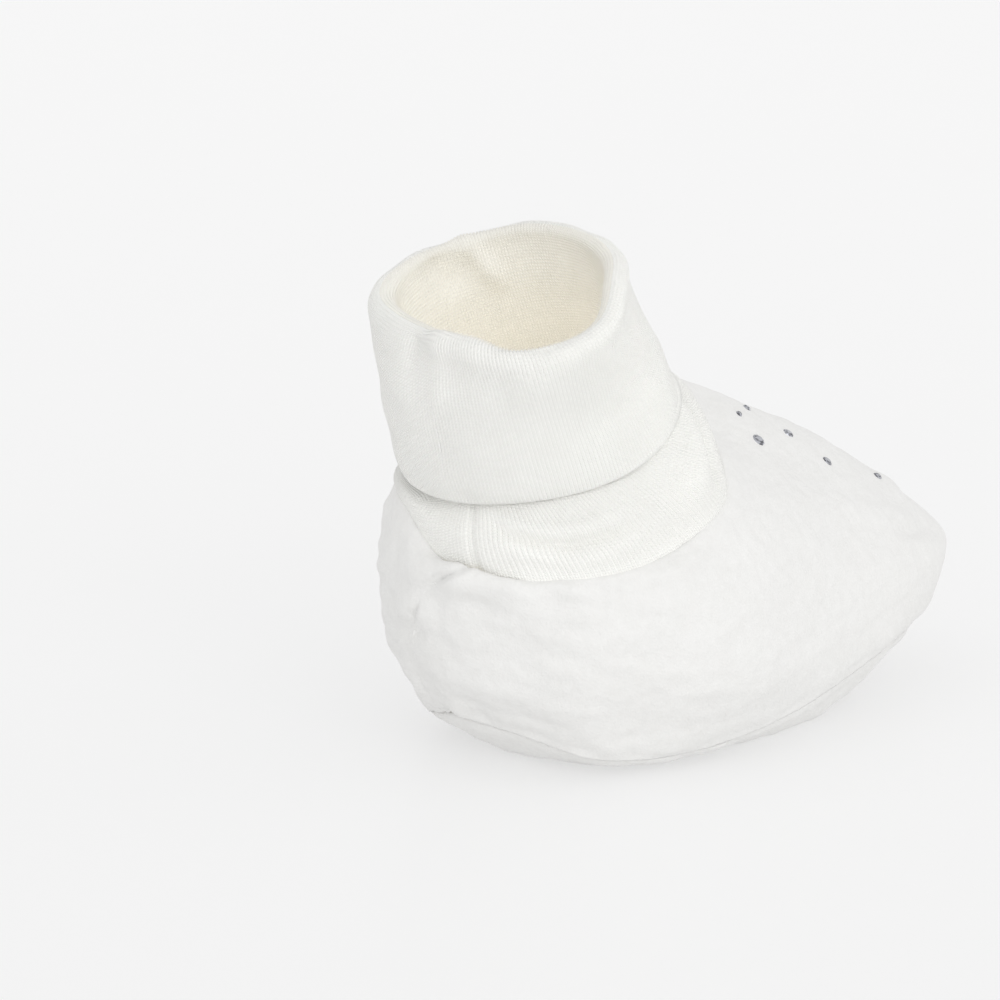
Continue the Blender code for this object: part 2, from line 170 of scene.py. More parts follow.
# Colours of the cloth's hollows and heights, and of the thread's: the hollows' darker colour is painted
# shade, mixed with the cloth's own uneven tone
VELOUR_DARK = (0.775, 0.771, 0.756)
VELOUR_LIGHT = (0.815, 0.812, 0.8)
JERSEY_DARK = (0.90, 0.88, 0.80)
JERSEY_LIGHT = (0.96, 0.945, 0.885)
THREAD_DARK = (0.87, 0.865, 0.845)
THREAD_LIGHT = (0.93, 0.927, 0.91)
# Painted glow: how strongly the cuff's inside and the lining shine as emission, standing in for the daylight
# that comes through thin white knit
PAINTED_INSIDE_GLOW = 0.19
PAINTED_LINING_GLOW = 0.3
# The floor, and the surroundings on their dim and bright sides
FLOOR_DARK = (0.459, 0.459, 0.459)
FLOOR_LIGHT = (0.461, 0.461, 0.461)
DIM_SIDE_COLOUR = (0.73, 0.73, 0.73)
BRIGHT_SIDE_COLOUR = (1.0, 1.0, 1.0)
SURROUND_STRENGTH = 1.12

SENSOR = 36.0
CAMERA_AZIMUTH = math.radians(45)
CAMERA_ELEVATION = math.radians(16)
CAMERA_DISTANCE = 900.0
CAMERA_LENS = 207.5
CAMERA_AIM = (-25.6, 33.4)  # the picture's centre, right of and above the foot's own middle


# --- curves and grids ---------------------------------------------------------------------------

def spline(points, places, closed):
    """Catmull-Rom curve through the points, read at places counted in points."""
    points = np.asarray(points, float)
    places = np.asarray(places, float)
    count = len(points)
    if closed:
        start = np.floor(places).astype(int)
        p0, p1, p2, p3 = (points[(start + k) % count] for k in (-1, 0, 1, 2))
    else:
        start = np.clip(np.floor(places).astype(int), 0, count - 2)
        longer = np.concatenate([[2 * points[0] - points[1]], points, [2 * points[-1] - points[-2]]])
        p0, p1, p2, p3 = (longer[start + k] for k in (0, 1, 2, 3))
    t = (places - start).reshape([-1] + [1] * (points.ndim - 1))
    return 0.5 * (2 * p1 + (p2 - p0) * t + (2 * p0 - 5 * p1 + 4 * p2 - p3) * t ** 2
                  + (3 * p1 - 3 * p2 + p3 - p0) * t ** 3)


def climbs(grid):
    """How far up its column each point of a grid lies, in millimetres."""
    steps = np.linalg.norm(np.diff(grid, axis=0), axis=-1)
    return np.concatenate([np.zeros((1, grid.shape[1])), np.cumsum(steps, axis=0)])


def resampled(grid, rows, start=0.0, stop=0.0):
    """The grid with evenly spaced rows, leaving out start and stop millimetres at its edges."""
    reach = climbs(grid)
    out = np.empty((rows, grid.shape[1], 3))
    shares = np.linspace(0, 1, rows)
    for column in range(grid.shape[1]):
        length = reach[-1, column]
        wanted = start + (length - start - stop) * shares
        for axis in range(3):
            out[:, column, axis] = np.interp(wanted, reach[:, column], grid[:, column, axis])
    return out


def grid_normals(grid):
    """Outward normals of a band whose rows climb."""
    around = np.roll(grid, -1, axis=1) - np.roll(grid, 1, axis=1)
    up = np.gradient(grid, axis=0)
    normals = np.cross(up, around)
    return normals / np.maximum(np.linalg.norm(normals, axis=-1, keepdims=True), 1e-9)


def relief(places, seed):
    """Smooth random relief, about -1 to 1, whose bumps are about one unit of the places across."""
    rng = np.random.default_rng(seed)
    waves = rng.normal(size=(RELIEF_WAVES, places.shape[-1]))
    waves *= (math.pi * rng.uniform(0.7, 1.3, (RELIEF_WAVES, 1))
              / np.linalg.norm(waves, axis=1, keepdims=True))
    phases = rng.uniform(0, 2 * math.pi, RELIEF_WAVES)
    return np.sin(places @ waves.T + phases).sum(-1) / math.sqrt(RELIEF_WAVES / 2)


def hill(distance, width):
    return np.exp(-(distance / width) ** 2)


def smooth_step(value, start, stop):
    t = np.clip((value - start) / (stop - start), 0, 1)
    return t * t * (3 - 2 * t)


def path_distance(points, path):
    """Each point's distance to a line through the path's points, and how far along it, 0 to 1."""
    path = np.asarray(path, float)
    best = np.full(points.shape[:-1], 1e9)
    along = np.zeros(points.shape[:-1])
    for k, (a, b) in enumerate(zip(path, path[1:])):
        run = b - a
        t = np.clip(((points - a) @ run) / (run @ run), 0, 1)
        distance = np.linalg.norm(points - (a + t[..., None] * run), axis=-1)
        closer = distance < best
        best = np.where(closer, distance, best)
        along = np.where(closer, (k + t) / (len(path) - 1), along)
    return best, along


FOLD_FADE = 0.35            # the share of a fold's length over which it fades at each end


def folded(points, folds):
    """The lift, in millimetres, that soft folds give the points. Folds fade towards ends and sides."""
    lift = np.zeros(points.shape[:-1])
    for path, height, width in folds:
        smooth = spline(path, np.linspace(0, len(path) - 1, 5 * len(path)), closed=False)
        distance, along = path_distance(points, smooth)
        fade = smooth_step(along, 0, FOLD_FADE) * smooth_step(1 - along, 0, FOLD_FADE)
        lift += height * hill(distance, width) * fade
    return lift


# --- meshes -------------------------------------------------------------------------------------

def rings_mesh(name, rings, materials, wrap=False, caps=(False, False), uv=None, inside_rows=None):
    """A mesh from rings in millimetres. It faces out where the rings climb.

    wrap joins the last ring to the first; caps close the first and last ring with a fan.
    uv gives, for each ring, its V and the U once round. Faces in inside_rows take the second material.
    """
    rings = np.asarray(rings)
    rows, columns = rings.shape[:2]
    verts = [tuple(p) for p in (rings.reshape(-1, 3) * MM)]
    i = np.arange(columns)
    j = (i + 1) % columns
    faces = []
    loops_uv = []
    slots = []
    around, heights = uv if uv else (1.0, np.linspace(0, 1, rows + 1))
    pairs = [(r, r + 1) for r in range(rows - 1)] + ([(rows - 1, 0)] if wrap else [])
    for low, high in pairs:
        quads = np.stack([low * columns + i, high * columns + i, high * columns + j, low * columns + j], -1)
        faces.extend(quads.tolist())
        left = i / columns * around
        right = (i + 1) / columns * around
        v_low = np.full(columns, heights[low])
        v_high = np.full(columns, heights[high] if high else heights[low])
        corner_uv = np.stack([left, v_low, left, v_high, right, v_high, right, v_low], -1)
        loops_uv.append(corner_uv.reshape(-1, 2))
        second = inside_rows is not None and inside_rows[0] <= low < inside_rows[1]
        slots.extend([1 if second else 0] * columns)
    for end, wanted in enumerate(caps):
        if not wanted:
            continue
        row = 0 if end == 0 else rows - 1
        centre = len(verts)
        verts.append(tuple(rings[row].mean(axis=0) * MM))
        a, b = (i, j) if end == 0 else (j, i)
        fan = np.stack([np.full(columns, centre), row * columns + a, row * columns + b], -1)
        faces.extend(fan.tolist())
        loops_uv.append(np.zeros((columns * 3, 2)))
        slots.extend([0] * columns)
    mesh = bpy.data.meshes.new(name)
    mesh.from_pydata(verts, [], faces)
    layer = mesh.uv_layers.new(name="UVMap")
    layer.data.foreach_set("uv", np.concatenate(loops_uv).astype(np.float32).ravel())
    for mat in materials:
        mesh.materials.append(mat)
    mesh.polygons.foreach_set("material_index", slots)
    mesh.shade_smooth()
    obj = bpy.data.objects.new(name, mesh)
    bpy.context.collection.objects.link(obj)
    return obj


def straight_knit(obj):
    """Knit columns and courses that run straight along and across a flat piece, taken from its plan."""
    mesh = obj.data
    corners = np.empty(len(mesh.loops), np.int32)
    mesh.loops.foreach_get("vertex_index", corners)
    points = np.empty(len(mesh.vertices) * 3, np.float32)
    mesh.vertices.foreach_get("co", points)
    plan = points.reshape(-1, 3)[corners, :2] / MM / (INSOLE_WALE, COURSE)
    mesh.uv_layers["UVMap"].data.foreach_set("uv", plan.astype(np.float32).ravel())


def band(name, outer, inner, materials, **settings):
    """Cloth with an outer grid and an inner one, closed along both edges."""
    return rings_mesh(name, np.concatenate([outer, inner[::-1]]), materials, wrap=True, **settings)


def joined(name, pieces, materials):
    """One object from several small closed meshes, given as (points in millimetres, faces)."""
    verts = []
    faces = []
    for points, shape in pieces:
        base = len(verts)
        verts.extend(tuple(p * MM) for p in points)
        faces.extend([base + k for k in face] for face in shape)
    mesh = bpy.data.meshes.new(name)
    mesh.from_pydata(verts, [], faces)
    for mat in materials:
        mesh.materials.append(mat)
    obj = bpy.data.objects.new(name, mesh)
    bpy.context.collection.objects.link(obj)
    return obj


def keep(obj, body, slot, *nodes):
    """obj rides on the body and stands for the nodes. The slot is not used."""
    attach(obj, body)
    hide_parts(*nodes)
    return obj


# --- materials ----------------------------------------------------------------------------------

def new_material(name, colour, roughness, sheen=0.0):
    mat = bpy.data.materials.new(name)
    mat.use_nodes = True
    shader = mat.node_tree.nodes["Principled BSDF"]
    shader.inputs["Base Color"].default_value = (*colour, 1)
    shader.inputs["Roughness"].default_value = roughness
    if sheen:
        shader.inputs["Sheen Weight"].default_value = sheen
        shader.inputs["Sheen Roughness"].default_value = 0.45
    return mat, mat.node_tree, shader


def add_node(tree, kind, **values):
    """A node with its inputs set by name, or linked where the value is another node's output."""
    node = tree.nodes.new(kind)
    for name, value in values.items():
        name = name.replace("_", " ")
        if isinstance(value, bpy.types.NodeSocket):
            tree.links.new(value, node.inputs[name])
        else:
            node.inputs[name].default_value = value
    return node


def calculate(tree, operation, *values):
    node = tree.nodes.new("ShaderNodeMath")
    node.operation = operation
    for socket, value in zip(node.inputs, values):
        if isinstance(value, bpy.types.NodeSocket):
            tree.links.new(value, socket)
        else:
            socket.default_value = value
    return node.outputs[0]


def noise_value(tree, coordinates, size, detail=2.0):
    """Noise whose blotches are about size millimetres across."""
    node = add_node(tree, "ShaderNodeTexNoise", Vector=coordinates, Scale=1 / (size * MM), Detail=detail)
    return node.outputs["Fac"]


def ramp_colour(tree, factor, dark, light, low=0.3, high=0.7):
    """A colour that goes from dark to light with the factor."""
    ramp = tree.nodes.new("ShaderNodeValToRGB")
    ramp.color_ramp.elements[0].position = low
    ramp.color_ramp.elements[0].color = (*dark, 1)
    ramp.color_ramp.elements[1].position = high
    ramp.color_ramp.elements[1].color = (*light, 1)
    tree.links.new(factor, ramp.inputs["Fac"])
    return ramp.outputs["Color"]


def bumped(tree, shader, height, depth, strength=1.0):
    """Bump of the given depth in millimetres."""
    node = add_node(tree, "ShaderNodeBump", Height=height, Distance=depth * MM, Strength=strength)
    tree.links.new(node.outputs["Normal"], shader.inputs["Normal"])


def velour_material():
    """Short dense pile: clumps about a millimetre across, finer crinkles, and a soft sheen."""
    mat, tree, shader = new_material("velour", (0.88, 0.875, 0.86), 0.92, sheen=0.2)
    where = tree.nodes.new("ShaderNodeTexCoord").outputs["Object"]
    clumps = noise_value(tree, where, 1.6, 3)
    pile = noise_value(tree, where, 0.45, 2)
    patches = noise_value(tree, where, 9, 2)
    # painted shade: the pile's colour darkens in its clump hollows, as the bump does, mixed with the velour's
    # own patchy tone
    most = calculate(tree, "MULTIPLY", clumps, 0.6)
    rest = calculate(tree, "MULTIPLY", patches, 0.4)
    blend = calculate(tree, "ADD", most, rest)
    tree.links.new(ramp_colour(tree, blend, VELOUR_DARK, VELOUR_LIGHT), shader.inputs["Base Color"])
    height = calculate(tree, "ADD", clumps, calculate(tree, "MULTIPLY", pile, 0.6))
    bumped(tree, shader, height, 0.24, 0.7)
    return mat


def knit_material(name, dark, light, depth, glow=0.0, lit_courses=None):
    """Plain knit: chains of V stitches. The UV map counts wales and courses.

    glow is painted light: emission that stands in for the light that comes through the cloth from outside,
    where the knit lines a cavity.
    It grows between the two lit_courses, from none.
    """
    mat, tree, shader = new_material(name, light, 0.88, sheen=0.12)
    shader.inputs["Emission Color"].default_value = (*PAINTED_GLOW_COLOUR, 1)
    shader.inputs["Emission Strength"].default_value = glow
    uv = tree.nodes.new("ShaderNodeUVMap")
    uv.uv_map = "UVMap"
    split = add_node(tree, "ShaderNodeSeparateXYZ", Vector=uv.outputs["UV"])
    wale, course = split.outputs["X"], split.outputs["Y"]
    if lit_courses:
        deeper = add_node(tree, "ShaderNodeMapRange", Value=course,
                          From_Min=lit_courses[0], From_Max=lit_courses[1],
                          To_Min=0.0, To_Max=glow)
        tree.links.new(deeper.outputs["Result"], shader.inputs["Emission Strength"])
    across = calculate(tree, "ABSOLUTE", calculate(tree, "SUBTRACT", calculate(tree, "FRACT", wale), 0.5))
    legs = calculate(tree, "SINE", calculate(tree, "MULTIPLY", across, 2 * math.pi))
    slant = calculate(tree, "SUBTRACT", course, calculate(tree, "MULTIPLY", across, 1.4))
    turns = calculate(tree, "COSINE", calculate(tree, "MULTIPLY", slant, 2 * math.pi))
    rope = calculate(tree, "ADD", calculate(tree, "MULTIPLY", turns, 0.32), 0.68)
    stitch = calculate(tree, "MULTIPLY", calculate(tree, "POWER", legs, 0.6), rope)
    where = tree.nodes.new("ShaderNodeTexCoord").outputs["Object"]
    fuzz = noise_value(tree, where, 0.35, 2)
    height = calculate(tree, "ADD", stitch, calculate(tree, "MULTIPLY", fuzz, 0.35))
    # painted shade: the colour darkens in the stitches' hollows, following the stitch relief, mixed with the
    # knit's own uneven tone
    shade = calculate(tree, "ADD", calculate(tree, "MULTIPLY", stitch, 0.7),
                      calculate(tree, "MULTIPLY", noise_value(tree, where, 3.5, 2), 0.4))
    tree.links.new(ramp_colour(tree, shade, dark, light, 0.1, 0.8), shader.inputs["Base Color"])
    bumped(tree, shader, height, depth, 0.8)
    return mat


# the warm colour of the painted glow
PAINTED_GLOW_COLOUR = (1.0, 0.93, 0.8)


def wadding_material():
    mat, tree, shader = new_material("wadding", (0.86, 0.86, 0.85), 1.0)
    where = tree.nodes.new("ShaderNodeTexCoord").outputs["Object"]
    fibres = noise_value(tree, where, 1.1, 5)
    # painted shade: the colour darkens where the fibres' bump sinks
    tree.links.new(ramp_colour(tree, fibres, (0.78, 0.78, 0.77), (0.9, 0.9, 0.89)), shader.inputs["Base Color"])
    bumped(tree, shader, fibres, 0.5)
    return mat


def thread_material():
    mat, tree, shader = new_material("thread", (0.88, 0.875, 0.85), 0.6, sheen=0.1)
    where = tree.nodes.new("ShaderNodeTexCoord").outputs["Object"]
    twist = noise_value(tree, where, 0.16, 1)
    # painted shade: the colour darkens where the twist's bump sinks
    tree.links.new(ramp_colour(tree, twist, THREAD_DARK, THREAD_LIGHT), shader.inputs["Base Color"])
    bumped(tree, shader, twist, 0.05)
    return mat


def crystal_material():
    """Foiled glass: each facet takes its own grey, a painted reflection, under a clear hard surface."""
    mat, tree, shader = new_material("crystal", (0.3, 0.31, 0.34), 0.12)
    shader.inputs["Metallic"].default_value = 0.75
    shader.inputs["Coat Weight"].default_value = 0.6
    where = tree.nodes.new("ShaderNodeNewGeometry").outputs["True Normal"]
    cells = tree.nodes.new("ShaderNodeTexWhiteNoise")
    tree.links.new(where, cells.inputs["Vector"])
    tree.links.new(ramp_colour(tree, cells.outputs["Value"], (0.1, 0.1, 0.115), (0.5, 0.51, 0.55), 0.2, 0.9),
                   shader.inputs["Base Color"])
    return mat


# --- the foot -----------------------------------------------------------------------------------

def placed(points):
    """Station millimetres, moved to the frame's origin."""
    return np.asarray(points, float) - np.array([0, LENGTH_CENTRE, 0])


def foot_stations():
    left = [tuple((-x, y, z) for x, y, z in station) for station in RIGHT_STATIONS[-2:0:-1]]
    return placed([station + (seam,) for station, seam in zip(RIGHT_STATIONS + tuple(left), ANKLE_SEAM)])


def foot_grid(columns, rows):
    """The foot's plain outer surface, from the sole seam up to the ankle seam."""
    around = spline(foot_stations(), np.arange(columns) / columns * STATIONS, closed=True)
    levels = around.transpose(1, 0, 2)
    fine = spline(levels, np.linspace(0, len(levels) - 1, 16 * (len(levels) - 1) + 1), closed=False)
    return resampled(fine, rows)


def on_foot(places):
    """Points of the plain foot at (station, level) places."""
    stations = foot_stations()
    columns = [spline(stations, [station % STATIONS], closed=True)[0] for station, level in places]
    levels = [level for station, level in places]
    return np.array([spline(column, [level], closed=False)[0] for column, level in zip(columns, levels)])


def back_seam(steps):
    levels = np.linspace(0, len(BACK_SEAM) - 1, steps)
    return on_foot(list(zip(spline(BACK_SEAM, levels, closed=False), levels)))


def wrapped_station(columns, station):
    """Each column's distance from a station, in stations, the short way round."""
    places = np.arange(columns) / columns * STATIONS
    return (places - station + STATIONS / 2) % STATIONS - STATIONS / 2


def soft_foot(grid):
    """The velour as it sits: rolled in at its seams, gathered at the heel, and softly dented."""
    rows, columns = grid.shape[:2]
    normals = grid_normals(grid)
    low = climbs(grid)
    high = low[-1] - low
    from_back = path_distance(grid, back_seam(24))[0]
    angle = (np.arange(columns) / columns * 2 * math.pi)[None, :] * np.ones((rows, 1))
    radius = STATIONS * STATION_ARC / (2 * math.pi)
    circle = np.stack([radius * np.cos(angle), radius * np.sin(angle)], -1)
    heel = hill(np.maximum(np.abs(wrapped_station(columns, 9)) - 1.6, 0), 1.4)[None, :]
    clear = smooth_step(low, 0, 7) * smooth_step(high, 0, 7)

    lift = 0.4 * relief(grid / 22, 1) * clear
    lift += 0.075 * (1 + heel) * relief(grid / 8, 2) * (0.35 + 0.65 * clear)
    lift += 0.03 * relief(grid / 2.4, 3) + 0.025 * relief(grid / 1.3, 4)
    crinkles = np.concatenate([circle / 6, (low / 1.7)[..., None]], -1)
    lift += 0.03 * (1 + 2 * heel) * relief(crinkles, 8) * clear
    lift += folded(grid, [(on_foot(path), height, width) for path, height, width in FOOT_FOLDS])

    lift -= 0.08 * np.clip(1 - low / 1.2, 0, 1) ** 2
    lift += 0.3 * hill(low - 3.2, 2.0)
    gathers = np.concatenate([circle / 4.2, (low / 13)[..., None]], -1)
    lift += (0.22 + 0.3 * heel) * relief(gathers, 5) * np.exp(-low / 5) * smooth_step(low, 0, 2)

    lift -= 0.5 * np.clip(1 - high / 1.2, 0, 1) ** 2
    lift += 0.3 * hill(high - 3.0, 2.0)
    gathers = np.concatenate([circle / 3.6, (high / 10)[..., None]], -1)
    lift += (0.12 + 0.35 * heel) * relief(gathers, 6) * np.exp(-high / 6) * smooth_step(high, 0.8, 4)

    lift -= 0.22 * hill(from_back, 1.6) * smooth_step(high, 0, 7)
    lift += 0.15 * hill(from_back - 3.2, 1.9) * smooth_step(high, 0, 6)
    across = np.concatenate([circle / 9, (low / 3.2)[..., None]], -1)
    lift += 0.5 * relief(across, 7) * np.exp(-from_back / 5) * smooth_step(from_back, 0, 1.0)
    return grid + normals * lift[..., None]


def make_upper(velour):
    outer = soft_foot(foot_grid(FOOT_COLUMNS, FOOT_ROWS))
    normals = grid_normals(outer)
    picked = np.unique(np.append(np.arange(0, FOOT_ROWS, FOOT_LINING_STEP), FOOT_ROWS - 1))
    low = climbs(outer)[picked]
    edge = np.minimum(low, low[-1] - low)
    thickness = VELOUR_EDGE + (VELOUR - VELOUR_EDGE) * smooth_step(edge, 0, 3)
    inner = outer[picked] - normals[picked] * thickness[..., None]
    obj = band("velour_upper", outer, inner, [velour])
    keep(obj, "foot", "velour", "upper_velour")
    return outer, inner


def make_lining(inner, jersey):
    """Thin jersey behind the velour, following its inner side."""
    sampled = inner[:, ::3]
    outer = resampled(sampled, 60, *LINING_MARGINS)
    normals = grid_normals(outer)
    outer = outer - normals * GAP
    inside = outer - normals * LINING
    heights = climbs(outer).mean(axis=1) / COURSE
    rows = len(outer)
    scale = np.concatenate([heights, heights[::-1], heights[:1]])
    obj = band("jersey_lining", outer, inside, [jersey], uv=(360, scale))
    keep(obj, "foot", "lining_jersey", "foot_lining")
    return rows


# --- the sole -----------------------------------------------------------------------------------

SOLE_FLAT = 0.7
SOLE_TREAD_CENTRE = (0, -6 - LENGTH_CENTRE)
SOLE_SEAM_SCALE = 0.99
# The sole's edge turned in behind the upper's: inwards, up
SOLE_ALLOWANCE = ((0.03, 0.5), (0.05, 0.9), (0.08, 0.8))
WADDING_THICK = 2.2
WADDING_SCALE = 0.78


def outline(ring, scale, heights):
    """A ring drawn in towards the tread's centre, at the heights."""
    centre = np.array(SOLE_TREAD_CENTRE, float)
    flat = centre + (ring[:, :2] - centre) * scale
    level = np.broadcast_to(np.asarray(heights, float), (len(ring),))
    return np.concatenate([flat, level[:, None]], axis=1)


def sole_profile(seam):
    """Rings of the sole's outer side, from near its centre out over the tread and up to the seam."""
    rings = [outline(seam, s, 0.0) for s in np.linspace(0.02, SOLE_FLAT, 22)]
    tread = rings[-1]
    edge = outline(seam, SOLE_SEAM_SCALE, seam[:, 2] - 0.1)
    turn = outline(seam, SOLE_FLAT + (1 - SOLE_FLAT) * 0.3, 0.0)
    for t in np.linspace(0, 1, 22)[1:]:
        rings.append(tread * (1 - t) ** 2 + turn * 2 * t * (1 - t) + edge * t * t)
    return np.array(rings)


def make_sole(seam, velour):
    ring = seam
    under = sole_profile(ring)
    normals = grid_normals(under)
    reach = climbs(under)
    from_edge = reach[-1] - reach
    lift = 0.12 * relief(under / 5, 11) + 0.05 * relief(under / 1.8, 12)
    lift -= 0.25 * np.clip(1 - from_edge / 1.2, 0, 1) ** 2
    lift += 0.3 * hill(from_edge - 2.4, 1.5)
    raised = under + normals * lift[..., None]
    raised[..., 2] = np.maximum(raised[..., 2], 0.0)
    turned_in = [outline(ring, SOLE_SEAM_SCALE - inwards, ring[:, 2] + rise)
                 for inwards, rise in SOLE_ALLOWANCE]
    top = under[:-3:3][::-1] - normals[:-3:3][::-1] * SOLE_CLOTH
    rings = np.concatenate([raised, turned_in, top])
    obj = rings_mesh("velour_sole", rings, [velour], caps=(True, True))
    keep(obj, "foot", "velour", "sole_velour")


def make_insole(seam, wadding_mat, jersey):
    """The padded insole: a wadding pad under a jersey cover."""
    floor = SOLE_CLOTH + GAP
    top = floor + WADDING_THICK
    bottom = [outline(seam, s, floor) for s in np.linspace(0.03, SOLE_FLAT * 0.93, 10)]
    side = [outline(seam, WADDING_SCALE, np.maximum(seam[:, 2] * 0.45, floor + 1.1))]
    crown = [outline(seam, s, top - 0.5 * (s / SOLE_FLAT) ** 4)
             for s in np.linspace(SOLE_FLAT * 0.92, 0.03, 12)]
    rings = np.array(bottom + side + crown)
    rings[..., 2] += 0.1 * relief(rings / 6, 13)
    pad = rings_mesh("pad_wadding", rings, [wadding_mat], caps=(True, True))
    keep(pad, "foot", "wadding", "sole_wadding")

    under = top + GAP
    heights = [outline(seam, s, under + 0.3 * (s < 0.6)) for s in np.linspace(0.03, SOLE_FLAT * 0.9, 24)]
    rim = [outline(seam, s, np.maximum(seam[:, 2] * 0.62, under)) for s in (0.72, 0.77, 0.82)]
    lower = np.array(heights + rim)
    lower[..., 2] += 0.12 * relief(lower / 7, 14)
    upper = lower[::-1] + np.array([0, 0, LINING])
    rings = np.concatenate([lower, upper])
    cover = rings_mesh("jersey_insole", rings, [jersey], caps=(True, True))
    straight_knit(cover)
    keep(cover, "foot", "lining_jersey", "insole_lining")


# --- the rib band -------------------------------------------------------------------------------

def leaning(radius, angle, height):
    """Points of the cuff's leaning frame, in the frame's axes. Angles run from the front by the right."""
    lean = CUFF_LEAN
    x = radius * np.sin(angle)
    forward = radius * np.cos(angle)
    y = HEM_CENTRE[1] + forward * math.cos(lean) - height * math.sin(lean)
    z = HEM_CENTRE[2] + forward * math.sin(lean) + height * math.cos(lean)
    return np.stack(np.broadcast_arrays(x, y, z), -1)


def rim_place(radius, angle, height, follow=1.0):
    """Radius and height where the soft rim really has a point of the round one.

    follow is the share of the rim's outward shift that the point takes.
    """
    shape = spline(RIM_SHAPE, angle / (2 * math.pi) * len(RIM_SHAPE), closed=True)
    middle = (RIM_RADIUS + MOUTH_RADIUS) / 2
    roll = (RIM_RADIUS - MOUTH_RADIUS) / 2
    thinner = (1 - shape[:, 2]) * smooth_step(height, 15, CUFF_HEIGHT - roll)
    outward = shape[:, 0] - middle
    inward_share = smooth_step(height, 15, 23.5)
    outward_share = smooth_step(height, 6, 22) * follow
    rise = (shape[:, 1] - CUFF_HEIGHT) * smooth_step(height, 8, 21)
    taken = np.where(outward < 0, inward_share, outward_share)
    moved = radius - (radius - middle) * thinner + outward * taken
    return moved, height + rise + min(CUFF_HEIGHT - height, roll) * thinner


def hem_sag(angle):
    """How far the hem hangs below its level."""
    middle, width, drop = HEM_SAG
    return drop * hill(np.degrees(angle) - middle, width)


def fold_paths(folds):
    """Folds given in degrees, radius and height, as paths in the frame's axes."""
    out = []
    for path, height, width in folds:
        path = np.asarray(path, float)
        out.append((leaning(path[:, 1], np.radians(path[:, 0]), path[:, 2]), height, width))
    return out


def wale_ridges(columns):
    """The relief of the wales once round: a narrow groove and a broad ridge."""
    phase = np.arange(columns) % WALE_VERTS
    return np.where(phase == 0, -1.0, 0.5)


def make_rib(seam, rib):
    """The standing part of the rib band, from its seam under the velour's edge up inside the cuff."""
    columns = WALES * WALE_VERTS
    angle = np.arange(columns) / columns * 2 * math.pi
    edge = spline(seam, np.arange(columns) / columns * len(seam), closed=True)
    centre = edge.mean(axis=0)
    level = (centre - edge) * np.array([1, 1, 0])
    level /= np.linalg.norm(level, axis=1, keepdims=True)
    edge = edge + level * RIB_EDGE_IN
    tucked = edge + level * RIB_TUCK_IN + np.array([0, 0, -RIB_TUCK_DOWN])
    sag = hem_sag(angle)
    neck = leaning(NECK_RADIUS + NECK_SWELL[0] + NECK_SWELL[1] * sag, angle, -NECK_DEPTH - sag)
    slopes = grid_normals(np.stack([edge, neck]))[0]
    shoulder = (edge + neck) / 2 + slopes * 1.2
    against_hem = leaning(NECK_RADIUS + 0.2, angle, 0.2 - 0.8 * sag)
    lower = spline(np.stack([tucked, edge, shoulder, neck, against_hem, leaning(TUBE_RADIUS, angle, 3)]),
                   np.linspace(0, 5, 48), closed=False)
    heights = np.linspace(4, TUBE_TOP, 32)
    tube = []
    for height in heights:
        radius, level = rim_place(TUBE_RADIUS, angle, height, TUBE_FOLLOW)
        tube.append(leaning(radius, angle, np.minimum(level, height + 1)))
    outer = resampled(np.concatenate([lower, tube]), 90)
    normals = grid_normals(outer)
    reach = climbs(outer)
    below_hem = smooth_step(30 - reach, 0, 8)
    lift = 0.3 * relief(outer / 9, 21) * smooth_step(reach, 0, 5) * below_hem
    lift += folded(outer, fold_paths(RIB_FOLDS))
    back = RIB_BACK_STATION / STATIONS * 2 * math.pi
    lift -= 0.5 * hill(np.abs(angle - back) * NECK_RADIUS, 0.6)[None, :] * below_hem
    lift += WALE_RELIEF * wale_ridges(columns)[None, :] * smooth_step(reach, 1.5, 3.5)
    shaped = outer + normals * lift[..., None]
    thickness = RIB_DOUBLED * (1 - 0.3 * smooth_step(reach / reach[-1], 0.75, 0.9))
    inner = (outer - normals * thickness[..., None])[::5]
    rows = reach.mean(axis=1) / COURSE
    scale = np.concatenate([rows, rows[::5][::-1], rows[:1]])
    obj = band("rib_ankle", shaped, inner, [rib], uv=(WALES, scale))
    keep(obj, "foot", "rib_knit", "ankle_rib")
    return outer


def arc(centre, radius, start, stop, count):
    angles = np.radians(np.linspace(start, stop, count))
    return [(centre[0] + radius * math.cos(a), centre[1] + radius * math.sin(a)) for a in angles]


def straight(start, stop, count):
    return [tuple(p) for p in np.linspace(start, stop, count)]


